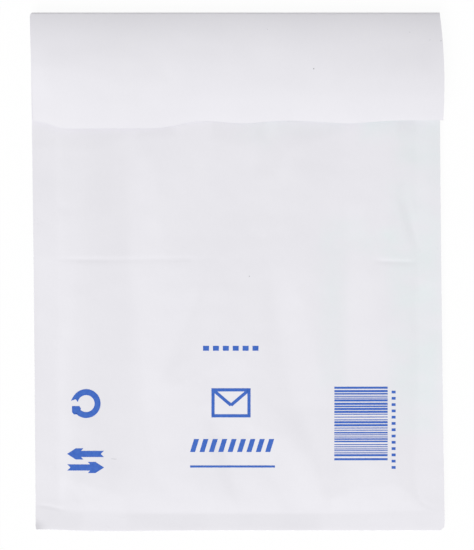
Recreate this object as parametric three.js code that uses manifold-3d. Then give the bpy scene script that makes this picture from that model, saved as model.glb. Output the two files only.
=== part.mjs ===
// Padded mailing envelope: a paper cover folded from one sheet, a bubble-film lining in its pocket, and
// the self-seal strip with its release liner under the flap. Millimetres, +Z up. The envelope lies on
// its back, with its bottom edge towards -Y, and the flap is folded over the front without being stuck.
import * as THREE from "three";
import { mergeVertices } from "three/addons/utils/BufferGeometryUtils.js";
import Module from "manifold-3d";

const wasm = await Module();
wasm.setup();

// Cover, measured flat
const COVER_WIDTH = 170;
const COVER_LENGTH = 215;
const SIDE_SEAL_WIDTH = 10;
const BOTTOM_SEAL_WIDTH = 7;
const PAPER_THICKNESS = 0.3;
const MOUTH_SLIT = 0.2;
const RIGHT_CORNER_RADIUS = 2.4;
const LEFT_CORNER_RADIUS = 0.8;

// How the sides run: the bottom edge lies a little to the right of the fold, and the waist is drawn in
const SIDE_SKEW = 2.3;
const WAIST_INSET = 0.3;

// Padding, from the seals up to the full thickness
const SEAL_SLOPE = 26;
const MOUTH_SLOPE = 20;
const MOUTH_TO_FOLD = 9;
const BUCKLE_PITCH = 49;
const BUCKLE_OFFSET = -14;
const BUCKLE_HEIGHT = 0.15;
const PUCKER_PITCH = 45;
const PUCKER_OFFSET = -24;
const PUCKER_HEIGHT = 0.2;
const PUCKER_LENGTH = 34;

// Lining: two walls of bubble film with the empty pocket pressed flat between them
const LINING_WALL = 1.5;
const FILM_THICKNESS = 0.4;
const BUBBLE_PITCH = 11;
const LINING_CLEARANCE = 0.3;
const LINING_INSET = 8;
const LINING_TO_MOUTH = 16;
const LINING_WELD = 3;
const POCKET_GAP = 0.4;

// Flap, from its fold to its free edge. The left side lies flatter than the right
const FLAP_REACH = 44.8;
const FLAP_DRIFT = 0.9;
const FOLD_RADIUS = 0.8;
const FOLD_PITCH_DEGREES = 15;
const CREST_TO_FOLD_LEFT = 20;
const CREST_TO_FOLD_RIGHT = 32;
const CREST_STANDOFF_LEFT = 1.5;
const CREST_STANDOFF_RIGHT = 2.7;
const EDGE_STANDOFF_LEFT = 0.75;
const EDGE_STANDOFF_RIGHT = 1.8;
const LIFT_START = 17;
const LIFT_LENGTH = 119;
const FLAP_ROOT = 1;

// The free edge hangs lower towards the left, in a belly measured from the flap's left side
const EDGE_DIP = 3.7;
const DIP_SIDE_LENGTH = 14;
const DIP_FALL_START = 34;
const DIP_FALL_LENGTH = 51;

// Self-seal strip on the flap's underside, and the liner that covers it
const STRIP_CLEARANCE = 0.15;
const ADHESIVE_THICKNESS = 0.15;
const ADHESIVE_WIDTH = 12;
const ADHESIVE_SETBACK = 8;
const ADHESIVE_END_MARGIN = 6;
const LINER_THICKNESS = 0.15;
const LINER_WIDTH = 22;
const LINER_SETBACK = 4;
const LINER_END_MARGIN = 1;

// Spacing of the facets
const PANEL_STEP = 11.5;
const SLOPE_STEPS = 4;
const SECTION_STEP = 11;
const CURVE_STEPS = 4;
const STRIP_STEP = 5.5;

// Sizes that follow from the ones above
const BODY_THICKNESS = 2 * (PAPER_THICKNESS + LINING_CLEARANCE + LINING_WALL) + POCKET_GAP;
const SEAL_HEIGHT = BODY_THICKNESS / 2;
const HALF_WIDTH = COVER_WIDTH / 2;
const POCKET_HALF_WIDTH = HALF_WIDTH - SIDE_SEAL_WIDTH;
const LINING_HALF_WIDTH = POCKET_HALF_WIDTH - LINING_INSET;
const BOTTOM_Y = -COVER_LENGTH / 2;
const FOLD_Y = COVER_LENGTH / 2;
const MOUTH_Y = FOLD_Y - MOUTH_TO_FOLD;
const POCKET_BOTTOM_Y = BOTTOM_Y + BOTTOM_SEAL_WIDTH;
const LINING_BOTTOM_Y = POCKET_BOTTOM_Y + LINING_INSET;
const LINING_TOP_Y = MOUTH_Y - LINING_TO_MOUTH;
const SEAL_TOP = SEAL_HEIGHT + PAPER_THICKNESS + MOUTH_SLIT / 2;
const SEAL_BOTTOM = SEAL_HEIGHT - PAPER_THICKNESS - MOUTH_SLIT / 2;

const { clamp, degToRad, lerp, smoothstep } = THREE.MathUtils;

// Evenly spaced values from one end to the other, about a step apart
function spaced(from, to, step) {
  const count = Math.max(1, Math.ceil((to - from) / step - 1e-6));
  return Array.from({ length: count + 1 }, (_, i) => lerp(from, to, i / count));
}

// Sorted values with near repeats left out
function stations(...lists) {
  const sorted = lists.flat().sort((a, b) => a - b);
  return sorted.filter((value, i) => i === 0 || value - sorted[i - 1] > 0.05);
}

// The closed solid between an upper and a lower grid of points that face each other
function slab(columns, rows, upperAt, lowerAt) {
  const across = columns.length;
  const grid = (pointAt) => rows.flatMap((row) => columns.map((column) => pointAt(column, row)));
  const points = [...grid(upperAt), ...grid(lowerAt)];
  const lower = across * rows.length;
  const index = [];
  const quad = (a, b, c, d) => index.push(a, b, c, a, c, d);
  const last = across * (rows.length - 1);
  for (let j = 0; j + 1 < rows.length; j++) {
    for (let i = 0; i + 1 < across; i++) {
      const a = j * across + i;
      quad(a, a + 1, a + 1 + across, a + across);
      quad(lower + a + across, lower + a + 1 + across, lower + a + 1, lower + a);
    }
    const left = j * across;
    const right = left + across - 1;
    quad(left, left + across, lower + left + across, lower + left);
    quad(right, lower + right, lower + right + across, right + across);
  }
  for (let i = 0; i + 1 < across; i++) {
    quad(i, lower + i, lower + i + 1, i + 1);
    quad(last + i, last + i + 1, lower + last + i + 1, lower + last + i);
  }
  return new THREE.BufferGeometry().setFromPoints(points).setIndex(index);
}

// Geometry to a solid for cutting and joining, and back again
function toSolid(geometry) {
  const bare = geometry.clone();
  bare.deleteAttribute("normal");
  bare.deleteAttribute("uv");
  const merged = mergeVertices(bare, 1e-4);
  const vertProperties = merged.attributes.position.array;
  const triVerts = new Uint32Array(merged.index.array);
  return new wasm.Manifold(new wasm.Mesh({ numProp: 3, vertProperties, triVerts }));
}

function toGeometry(solid) {
  const { vertProperties, triVerts } = solid.getMesh();
  const geometry = new THREE.BufferGeometry();
  geometry.setAttribute("position", new THREE.BufferAttribute(vertProperties, 3));
  geometry.setIndex(new THREE.BufferAttribute(triVerts, 1));
  geometry.computeVertexNormals();
  return geometry;
}

// A flat coordinate across the cover, moved to where the skewed and waisted sheet really lies
function acrossCover(x, y) {
  const along = (y - BOTTOM_Y) / COVER_LENGTH;
  const middle = SIDE_SKEW * (0.5 - along);
  const waist = 1 - (4 * along * (1 - along) * WAIST_INSET) / HALF_WIDTH;
  return middle + x * waist;
}

// A rise from 0 to 1 that starts steeply, as a pillow does at its seam, and levels off
function swell(distance, slope) {
  const share = clamp(distance / slope, 0, 1);
  return share * (2 - share);
}

// How far the padding fills the pocket: 0 at the seals and the mouth, 1 in the middle
function fullness(x, y) {
  const fromSide = swell(POCKET_HALF_WIDTH - Math.abs(x), SEAL_SLOPE);
  const fromBottom = swell(y - POCKET_BOTTOM_Y, SEAL_SLOPE);
  const fromMouth = swell(MOUTH_Y - y, MOUTH_SLOPE);
  return fromSide * fromBottom * fromMouth;
}

// The slack front sheet: long buckles that run up the panel, and puckers that fan out of the bottom seal
function slack(x, y) {
  const wave = (offset, pitch) => Math.cos((2 * Math.PI * (x - offset)) / pitch);
  const buckle = BUCKLE_HEIGHT * wave(BUCKLE_OFFSET, BUCKLE_PITCH);
  const fade = 1 - smoothstep(y - POCKET_BOTTOM_Y, 0, PUCKER_LENGTH);
  const pucker = PUCKER_HEIGHT * fade * wave(PUCKER_OFFSET, PUCKER_PITCH);
  return buckle + pucker - BUCKLE_HEIGHT - PUCKER_HEIGHT * fade;
}

const frontAt = (x, y) => lerp(SEAL_TOP, BODY_THICKNESS + slack(x, y), fullness(x, y));
const backAt = (x, y) => lerp(SEAL_BOTTOM, 0, fullness(x, y));

// A slab of the pillow, with its faces set in from the cover's outer faces
function pillow(columns, rows, inset) {
  const front = (x, y) => new THREE.Vector3(acrossCover(x, y), y, frontAt(x, y) - inset);
  const back = (x, y) => new THREE.Vector3(acrossCover(x, y), y, backAt(x, y) + inset);
  return toSolid(slab(columns, rows, front, back));
}

// Grid lines over the pocket, closer together on the slopes, shared by everything in the pillow
const slopeSteps = Array.from({ length: SLOPE_STEPS + 1 }, (_, i) => i / SLOPE_STEPS);
const sideSlope = slopeSteps.map((t) => POCKET_HALF_WIDTH - t * SEAL_SLOPE);
const pocketColumns = stations(
  sideSlope,
  sideSlope.map((x) => -x),
  spaced(-POCKET_HALF_WIDTH + SEAL_SLOPE, POCKET_HALF_WIDTH - SEAL_SLOPE, PANEL_STEP),
);
const pocketRows = stations(
  slopeSteps.map((t) => POCKET_BOTTOM_Y + t * SEAL_SLOPE),
  slopeSteps.map((t) => MOUTH_Y - t * MOUTH_SLOPE),
  spaced(POCKET_BOTTOM_Y + SEAL_SLOPE, MOUTH_Y - MOUTH_SLOPE, PANEL_STEP),
);

// What rounds off one bottom corner of the sealed sheet: side is 1 at the right and -1 at the left
function cornerCut(radius, side) {
  const reach = radius + COVER_WIDTH;
  const outline = new THREE.Shape();
  outline.moveTo(-radius, 0);
  outline.absarc(-radius, radius, radius, -Math.PI / 2, 0, false);
  outline.lineTo(reach, radius);
  outline.lineTo(reach, -reach);
  outline.lineTo(-radius, -reach);
  const depth = 2 * SEAL_TOP;
  const cut = new THREE.ExtrudeGeometry(outline, { depth, bevelEnabled: false, curveSegments: CURVE_STEPS });
  if (side < 0) cut.rotateY(Math.PI).translate(0, 0, depth);
  return toSolid(cut.translate(acrossCover(side * HALF_WIDTH, BOTTOM_Y), BOTTOM_Y, -SEAL_TOP / 2));
}

// The sealed bag: the pillow's outside, less the pocket, which opens at the mouth
function coverBag() {
  const columns = stations([-HALF_WIDTH, HALF_WIDTH], pocketColumns);
  const rows = stations([BOTTOM_Y], pocketRows);
  const pocketOutRows = stations(pocketRows, [MOUTH_Y + PAPER_THICKNESS]);
  return pillow(columns, rows, 0)
    .subtract(pillow(pocketColumns, pocketOutRows, PAPER_THICKNESS))
    .subtract(cornerCut(RIGHT_CORNER_RADIUS, 1))
    .subtract(cornerCut(LEFT_CORNER_RADIUS, -1));
}

// The flap's middle surface as a line in Y and Z, at a share of the way from its left to its right side:
// out of the back, round the fold, up to the crest of the curl and down to the free edge
function flapPath(share) {
  const across = share * COVER_WIDTH;
  const lift = smoothstep(across, LIFT_START, LIFT_START + LIFT_LENGTH);
  const belly =
    smoothstep(across, 0, DIP_SIDE_LENGTH) *
    (1 - smoothstep(across, DIP_FALL_START, DIP_FALL_START + DIP_FALL_LENGTH));
  const pitch = degToRad(FOLD_PITCH_DEGREES);
  const rootHeight = SEAL_BOTTOM + PAPER_THICKNESS / 2;
  const crest = BODY_THICKNESS + lerp(CREST_STANDOFF_LEFT, CREST_STANDOFF_RIGHT, lift);
  const edge = BODY_THICKNESS + lerp(EDGE_STANDOFF_LEFT, EDGE_STANDOFF_RIGHT, lift);
  const crestY = FOLD_Y - lerp(CREST_TO_FOLD_LEFT, CREST_TO_FOLD_RIGHT, lift);
  const edgeY = FOLD_Y - FLAP_REACH - EDGE_DIP * belly;
  const foldCentreY = FOLD_Y - PAPER_THICKNESS / 2 - FOLD_RADIUS;
  const foldCentreZ = rootHeight + FOLD_RADIUS;
  const foldEndY = foldCentreY + FOLD_RADIUS * Math.sin(pitch);
  const foldEndZ = foldCentreZ + FOLD_RADIUS * Math.cos(pitch);
  const path = new THREE.Path();
  path.moveTo(MOUTH_Y - FLAP_ROOT, rootHeight);
  path.lineTo(foldCentreY, rootHeight);
  path.absarc(foldCentreY, foldCentreZ, FOLD_RADIUS, -Math.PI / 2, Math.PI / 2 - pitch, false);
  path.quadraticCurveTo(foldEndY - (crest - foldEndZ) / Math.tan(pitch), crest, crestY, crest);
  path.quadraticCurveTo((crestY + edgeY) / 2, crest, edgeY, edge);
  return path;
}

// A point of the flap, moved off its middle surface along the normal: positive is the outer face
function flapPoint(share, point, tangent, offset) {
  const turned = (FOLD_Y - point.y) / FLAP_REACH;
  const drift = FLAP_DRIFT * Math.max(0, turned) * smoothstep(point.z, SEAL_TOP, BODY_THICKNESS);
  const x = acrossCover(lerp(-HALF_WIDTH, HALF_WIDTH, share), Math.min(point.y, FOLD_Y));
  return new THREE.Vector3(x + drift, point.y + offset * tangent.z, point.z - offset * tangent.y);
}

// Lines in Y and Z hold Y in their first coordinate and Z in their second
const inYZ = (p) => ({ y: p.x, z: p.y });

function flapSheet() {
  const shares = spaced(0, 1, SECTION_STEP / COVER_WIDTH);
  const lines = new Map(shares.map((share) => [share, flapPath(share).getPoints(CURVE_STEPS)]));
  const steps = lines.get(shares[0]).map((_, i) => i);
  const at = (offset) => (share, i) => {
    const line = lines.get(share);
    const before = line[Math.max(0, i - 1)];
    const after = line[Math.min(line.length - 1, i + 1)];
    const tangent = after.clone().sub(before).normalize();
    return flapPoint(share, inYZ(line[i]), inYZ(tangent), offset);
  };
  return toSolid(slab(shares, steps, at(-PAPER_THICKNESS / 2), at(PAPER_THICKNESS / 2)));
}

// A strip that runs along under the flap, between two distances from its free edge
function underflapStrip({ setback, width, endMargin, depth, thickness }) {
  const margin = endMargin / COVER_WIDTH;
  const shares = spaced(margin, 1 - margin, SECTION_STEP / COVER_WIDTH);
  const paths = new Map(shares.map((share) => [share, flapPath(share)]));
  const distances = spaced(setback, setback + width, STRIP_STEP).reverse();
  const at = (offset) => (share, distance) => {
    const path = paths.get(share);
    const along = 1 - distance / path.getLength();
    const tangent = path.getTangentAt(along);
    return flapPoint(share, inYZ(path.getPointAt(along)), inYZ(tangent), offset);
  };
  const top = -PAPER_THICKNESS / 2 - depth;
  return slab(shares, distances, at(top - thickness), at(top));
}

// Two walls of bubble film, welded at the sides and the bottom. The bubbles stand in staggered rows: every
// other point in every other row of the grid is the top of one
function liningPouch() {
  const columns = spaced(-LINING_HALF_WIDTH, LINING_HALF_WIDTH, BUBBLE_PITCH / 2);
  const rows = spaced(LINING_BOTTOM_Y, LINING_TOP_Y, (BUBBLE_PITCH * Math.sqrt(3)) / 4);
  const isBubble = (i, j) => j % 2 === 1 && i % 2 === ((j - 1) / 2) % 2;
  const offMiddle = (x, y, offset) =>
    new THREE.Vector3(acrossCover(x, y), y, (frontAt(x, y) + backAt(x, y)) / 2 + offset);
  const filmFace = (side) => (i, j) => {
    const x = columns[i];
    const y = rows[j];
    const room = (frontAt(x, y) - backAt(x, y)) / 2 - PAPER_THICKNESS - LINING_CLEARANCE;
    const base = lerp(room, POCKET_GAP / 2 + FILM_THICKNESS, fullness(x, y));
    return offMiddle(x, y, side * (isBubble(i, j) ? room : base));
  };
  const indices = (list) => list.map((_, i) => i);
  const pouch = slab(indices(columns), indices(rows), filmFace(1), filmFace(-1));
  const slitHalfWidth = LINING_HALF_WIDTH - LINING_WELD;
  const slitFace = (side) => (x, y) => offMiddle(x, y, (side * POCKET_GAP) / 2);
  const slit = slab(
    spaced(-slitHalfWidth, slitHalfWidth, PANEL_STEP),
    spaced(LINING_BOTTOM_Y + LINING_WELD, LINING_TOP_Y + POCKET_GAP, PANEL_STEP),
    slitFace(1),
    slitFace(-1),
  );
  return toSolid(pouch).subtract(toSolid(slit));
}

// Materials
const whitePaper = new THREE.MeshStandardMaterial({ color: 0xe9e9ee, roughness: 0.75, metalness: 0 });
const bubbleFilm = new THREE.MeshStandardMaterial({ color: 0xdfe6ea, roughness: 0.25, metalness: 0 });
const hotMelt = new THREE.MeshStandardMaterial({ color: 0xe6dcb8, roughness: 0.35, metalness: 0 });
const siliconePaper = new THREE.MeshStandardMaterial({ color: 0xf2f0e6, roughness: 0.4, metalness: 0 });

function piece(name, geometry, material) {
  const mesh = new THREE.Mesh(geometry, material);
  mesh.name = name;
  return mesh;
}

const envelope = new THREE.Group();
envelope.name = "padded_envelope";
envelope.add(
  piece("outer_cover", toGeometry(coverBag().add(flapSheet())), whitePaper),
  piece("bubble_lining", toGeometry(liningPouch()), bubbleFilm),
  piece(
    "adhesive_strip",
    underflapStrip({
      setback: ADHESIVE_SETBACK,
      width: ADHESIVE_WIDTH,
      endMargin: ADHESIVE_END_MARGIN,
      depth: STRIP_CLEARANCE,
      thickness: ADHESIVE_THICKNESS,
    }),
    hotMelt,
  ),
  piece(
    "release_liner",
    underflapStrip({
      setback: LINER_SETBACK,
      width: LINER_WIDTH,
      endMargin: LINER_END_MARGIN,
      depth: 2 * STRIP_CLEARANCE + ADHESIVE_THICKNESS,
      thickness: LINER_THICKNESS,
    }),
    siliconePaper,
  ),
);

export default envelope;
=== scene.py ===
"""Padded paper envelope, lying on its back with its flap folded over the front.

Shapes are worked out in millimetres and made in metres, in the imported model's frame:
+Y runs from the bottom seal to the fold of the flap, and +Z is up out of the front.
"""
import math

import bpy
import numpy as np
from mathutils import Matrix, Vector


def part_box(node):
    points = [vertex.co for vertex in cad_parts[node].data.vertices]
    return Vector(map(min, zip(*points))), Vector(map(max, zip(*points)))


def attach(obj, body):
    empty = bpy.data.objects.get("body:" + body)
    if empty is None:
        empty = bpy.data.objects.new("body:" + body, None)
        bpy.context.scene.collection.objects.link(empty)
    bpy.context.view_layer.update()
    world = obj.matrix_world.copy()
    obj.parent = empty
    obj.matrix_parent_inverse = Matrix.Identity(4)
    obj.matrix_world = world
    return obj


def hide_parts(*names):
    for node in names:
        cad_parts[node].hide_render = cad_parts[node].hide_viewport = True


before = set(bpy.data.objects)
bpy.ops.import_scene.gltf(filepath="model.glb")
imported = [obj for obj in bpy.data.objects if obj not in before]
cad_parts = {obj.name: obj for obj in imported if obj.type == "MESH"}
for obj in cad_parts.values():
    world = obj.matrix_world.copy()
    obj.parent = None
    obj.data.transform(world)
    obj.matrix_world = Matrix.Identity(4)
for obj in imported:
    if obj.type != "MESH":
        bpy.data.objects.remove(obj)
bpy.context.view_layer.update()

MM = 0.001


def box_of(node):
    """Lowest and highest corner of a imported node, in millimetres."""
    return np.array([tuple(corner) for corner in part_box(node)]) / MM


# Cover, in millimetres
COVER_BOX = box_of("outer_cover")
LINING_BOX = box_of("bubble_lining")
COVER_WIDTH = 170.0
COVER_LENGTH = COVER_BOX[1][1] - COVER_BOX[0][1]
SIDE_SEAL = 10.0
BOTTOM_SEAL = 7.0
BODY_THICKNESS = LINING_BOX[0][2] + LINING_BOX[1][2]
SEAL_HEIGHT = BODY_THICKNESS / 2
PAPER = 0.16
RIM = 0.03
SEAL_HALF_GAP = 0.01
SIDE_SKEW = 2.3
WAIST_INSET = 0.3
MOUTH_TO_FOLD = 9.0
RIGHT_CORNER_RADIUS = 2.4
LEFT_CORNER_RADIUS = 0.8

# How the padding swells out of the seals: length of each slope, and how sharply it starts
SIDE_SLOPE = (55.0, 1.7)
BOTTOM_SLOPE = (105.0, 1.7)
BOTTOM_LIP = (16.0, 2.0)
BOTTOM_LIP_SHARE = 0.22
MOUTH_SLOPE = (20.0, 2.0)

# Flap; pairs hold the left side's value and the right side's
FLAP_REACH = 45.0
FLAP_DRIFT = 0.9
FLAP_BOW = 0.9
FOLD_RADIUS = 0.55
FOLD_LIFT = 0.5
FOLD_PITCH = (math.radians(11.0), math.radians(15.0))
CREST_TO_FOLD = (20.0, 32.0)
CREST_STANDOFF = (0.75, 2.1)
EDGE_STANDOFF = (-0.2, 1.35)
LIFT_START = 17.0
LIFT_LENGTH = 119.0
LEFT_DROOP = 0.3
LEFT_DROOP_LENGTH = 30.0
FLAP_ROOT = 1.0
FOLD_CORNER_RADIUS = 1.6
FLAP_REST_GAP = 0.1

# Rows of the flap's mesh: its root, round the fold, from there to its crest, and on to its free edge
ROOT_ROWS = 5
FOLD_ROWS = 17
CREST_ROWS = 23
EDGE_ROWS = 25

# Where the flap's waves set in, and where it starts to rest on the front, as shares of its reach
FLAP_WAVE_START = (0.1, 0.5)
FLAP_REST_START = (0.3, 0.5)

# Places where the flap curls more or less: distance from the left side, half width, rise of the
# crest, rise of the free edge, and steeper turn at the fold in degrees
CURLS = (
    (38.0, 25.0, 0.62, 0.52, 2.5),
    (107.0, 20.0, -0.15, -0.08, 0.0),
    (168.0, 24.0, 0.5, 0.65, 0.0),
)

# The belly of the flap's free edge, towards its left side
EDGE_DIP = 3.2
DIP_SIDE_LENGTH = 14.0
DIP_FALL_START = 48.0
DIP_FALL_LENGTH = 25.0

# Waves of that edge further right: distance from the left side, half width, depth
EDGE_WAVES = ((87.0, 11.0, 1.1), (130.0, 13.5, 1.2))

# Self-seal strip
STRIP_CLEARANCE = 0.15
ADHESIVE_THICKNESS = 0.15
ADHESIVE_WIDTH = 12.0
ADHESIVE_SETBACK = 8.0
ADHESIVE_END_MARGIN = 6.0
LINER_THICKNESS = 0.12
LINER_WIDTH = 22.0
LINER_SETBACK = 4.0
LINER_END_MARGIN = 1.0
LINER_DEPTH = 2 * STRIP_CLEARANCE + ADHESIVE_THICKNESS
STRIP_ROOM = (-LINER_SETBACK, LINER_SETBACK + 1.0)
STRIP_STEP = 2.0
STRIP_ROW_STEP = 1.2

# Lining
LINING_INSET = 8.0
LINING_TO_MOUTH = 16.0
LINING_CLEARANCE = 0.3
LINING_LEAST_GAP = 0.04
LINING_WELD = 4.0
WELD_GAP_SHARE = 0.2
LINING_STEP = 1.7
LINING_SHARP_ANGLE = 80.0
FILM = 0.2
POCKET_GAP = 0.4
BUBBLE_PITCH = 11.0
BUBBLE_RADIUS = 4.9
BUBBLE_TO_EDGE = 0.5

# Camera: the photograph's frame, and how far above the seals it was taken
FRAME_PX = (474, 550)
PX_PER_MM = 2.406
CAMERA_DISTANCE = 700.0
CAMERA_X = -0.2
CAMERA_Y = -1.4

HALF_WIDTH = COVER_WIDTH / 2
POCKET_HALF = HALF_WIDTH - SIDE_SEAL
BOTTOM_Y = -COVER_LENGTH / 2
FOLD_Y = COVER_LENGTH / 2
MOUTH_Y = FOLD_Y - MOUTH_TO_FOLD
POCKET_BOTTOM_Y = BOTTOM_Y + BOTTOM_SEAL
SEAL_TOP = SEAL_HEIGHT + SEAL_HALF_GAP + PAPER
SEAL_BOTTOM = SEAL_HEIGHT - SEAL_HALF_GAP - PAPER
FLAP_EDGE_Y = FOLD_Y - FLAP_REACH
FAR = 1e9


def smooth(value, low, high):
    """0 below low and 1 above high, with an S-shaped rise between them."""
    t = np.clip((value - low) / (high - low), 0.0, 1.0)
    return t * t * (3.0 - 2.0 * t)


def mix(a, b, t):
    """The value that lies a share t of the way from a to b."""
    return a + (b - a) * t


def higher_of(a, b, blend=0.4):
    """The higher of two heights, rounded off where they cross."""
    return 0.5 * (a + b + np.sqrt((a - b) ** 2 + blend * blend))


def picture(px, py):
    """A place in the photograph's frame, as X and Y on the front of the envelope."""
    scale = PX_PER_MM * CAMERA_DISTANCE / (CAMERA_DISTANCE - BODY_THICKNESS + SEAL_HEIGHT)
    return (
        (px - FRAME_PX[0] / 2) / scale + CAMERA_X,
        (FRAME_PX[1] / 2 - py) / scale + CAMERA_Y,
    )


# One picture pixel, in millimetres
PX = 1.0 / PX_PER_MM


# The cover's form

def middle_of(y):
    """X of the sheet's middle line, which the slant of the sides moves."""
    return SIDE_SKEW * (0.5 - (y - BOTTOM_Y) / COVER_LENGTH)


def waist_of(y):
    """Width of the sheet, as a share of its full width."""
    along = np.clip((y - BOTTOM_Y) / COVER_LENGTH, 0.0, 1.0)
    return 1.0 - 4.0 * along * (1.0 - along) * WAIST_INSET / HALF_WIDTH


def across_cover(x, y):
    """A flat coordinate across the sheet, moved to where the sheet lies, with its rounded corners."""
    x = np.asarray(x, float)
    for side, radius in ((1, RIGHT_CORNER_RADIUS), (-1, LEFT_CORNER_RADIUS)):
        below = np.clip(radius - (y - BOTTOM_Y), 0.0, radius)
        inset = radius - np.sqrt(radius * radius - below * below)
        share = np.clip((side * x - POCKET_HALF) / SIDE_SEAL, 0.0, 1.0)
        x = x - side * inset * share
    return middle_of(y) + x * waist_of(y)


def flat_x(real_x, y):
    """The flat coordinate across the sheet of a place on it."""
    return (real_x - middle_of(y)) / waist_of(y)


def swell(distance, slope):
    """A rise from 0 to 1 that starts at a seam and levels off."""
    length, power = slope
    return 1.0 - (1.0 - np.clip(distance / length, 0.0, 1.0)) ** power


def fullness(x, y):
    """0 at the seals and the mouth, 1 where the padding fills the pocket."""
    side = swell(POCKET_HALF - np.abs(x), SIDE_SLOPE)
    from_bottom = y - POCKET_BOTTOM_Y
    bottom = mix(swell(from_bottom, BOTTOM_SLOPE), swell(from_bottom, BOTTOM_LIP), BOTTOM_LIP_SHARE)
    return side * bottom * swell(MOUTH_Y - y, MOUTH_SLOPE)


def waves(x, y, seed, lengths, count=9):
    """A smooth random field of about unit height, from plane waves with fixed directions."""
    rng = np.random.RandomState(seed)
    total = np.zeros(np.broadcast(x, y).shape)
    for _ in range(count):
        length = rng.uniform(*lengths)
        angle = rng.uniform(0.0, 2.0 * math.pi)
        phase = rng.uniform(0.0, 2.0 * math.pi)
        turn = 2.0 * math.pi / length
        total += np.sin(turn * (x * math.cos(angle) + y * math.sin(angle)) + phase)
    return total / math.sqrt(count / 2.0) / 2.0


# Random waves of the paper: height in millimetres, seed, and the shortest and longest wave
SLACK_WAVES = ((0.07, 11, (26.0, 60.0)), (0.015, 12, (9.0, 16.0)))
SEAL_WAVES = ((0.02, 21, (10.0, 24.0)), (0.12, 22, (45.0, 90.0)))
FLAP_WAVES = ((0.08, 31, (30.0, 70.0)), (0.008, 32, (8.0, 15.0)))
BACK_WAVES = ((1.0, 41, (22.0, 50.0)),)
BUBBLE_PATCHES = ((1.0, 13, (40.0, 80.0)),)


def wave_sum(x, y, rows):
    return sum(height * waves(x, y, seed, lengths) for height, seed, lengths in rows)


def ridge(x, y, points, half_width, height, taper=0.2):
    """A soft ridge, or a valley where the height is negative, along a line of picture places.

    It fades out at each end, over a taper's share of its length."""
    line = np.array([picture(*p) for p in points])
    steps = np.linalg.norm(np.diff(line, axis=0), axis=1)
    length = steps.sum()
    best = np.full(np.broadcast(x, y).shape, FAR)
    along = np.zeros_like(best)
    start = 0.0
    for a, b, step in zip(line[:-1], line[1:], steps):
        way = (b - a) / step
        t = np.clip((x - a[0]) * way[0] + (y - a[1]) * way[1], 0.0, step)
        away = np.hypot(x - a[0] - t * way[0], y - a[1] - t * way[1])
        nearer = away < best
        best = np.where(nearer, away, best)
        along = np.where(nearer, start + t, along)
        start += step
    share = along / length
    ends = smooth(share, 0.0, taper) * (1.0 - smooth(share, 1.0 - taper, 1.0))
    return height * ends * np.exp(-(best / (half_width * PX)) ** 2)


# Soft buckles of the slack front: line of places, half width in picture pixels, height in millimetres
BUCKLES = (
    (((80, 120), (80, 300), (82, 495)), 24, 0.15),
    (((131, 120), (132, 300), (130, 500)), 24, -0.15),
    (((196, 262), (178, 330), (150, 400)), 17, 0.15),
    (((214, 285), (184, 385)), 13, -0.09),
    (((276, 200), (279, 330), (300, 420), (330, 505)), 18, -0.15),
    (((322, 240), (334, 360), (352, 480)), 20, 0.12),
    (((232, 200), (226, 300), (232, 400)), 20, 0.09),
    (((394, 140), (398, 330), (392, 495)), 16, -0.075),
)

# Puckers that fan out of the bottom seal
PUCKERS = (
    (((236, 512), (226, 455), (205, 400)), 9, -0.21),
    (((329, 512), (314, 450), (296, 400)), 9, -0.21),
    (((118, 512), (120, 450)), 11, -0.13),
    (((388, 512), (382, 455)), 10, -0.1),
    (((282, 514), (272, 460)), 16, 0.15),
    (((180, 514), (176, 455)), 18, 0.13),
    (((70, 514), (72, 468)), 12, 0.084),
)

# Creases: narrow pressed lines
CREASES = (
    (((56, 259.5), (110, 260), (165, 259), (218, 258)), 2.6, -0.05),
    (((50, 259.0), (80, 259.5), (112, 259.5)), 2.2, -0.035),
    (((372, 261.0), (420, 262.5)), 2.0, -0.085),
    (((399, 186), (410, 220), (418, 252)), 4.0, -0.13),
    (((128, 412), (216, 412.5)), 2.2, -0.025),
    (((34, 505.5), (48, 507), (66, 511)), 1.6, -0.06),
    (((414, 430), (415, 480), (420, 502), (430, 508), (446, 509.5)), 2.6, -0.06),
    (((66, 486), (84, 504)), 3.0, -0.06),
    (((78, 484), (96, 502)), 3.0, -0.05),
    (((56, 207), (72, 209)), 2.6, -0.06),
    (((415, 296), (415, 334)), 2.4, -0.06),
)

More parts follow.
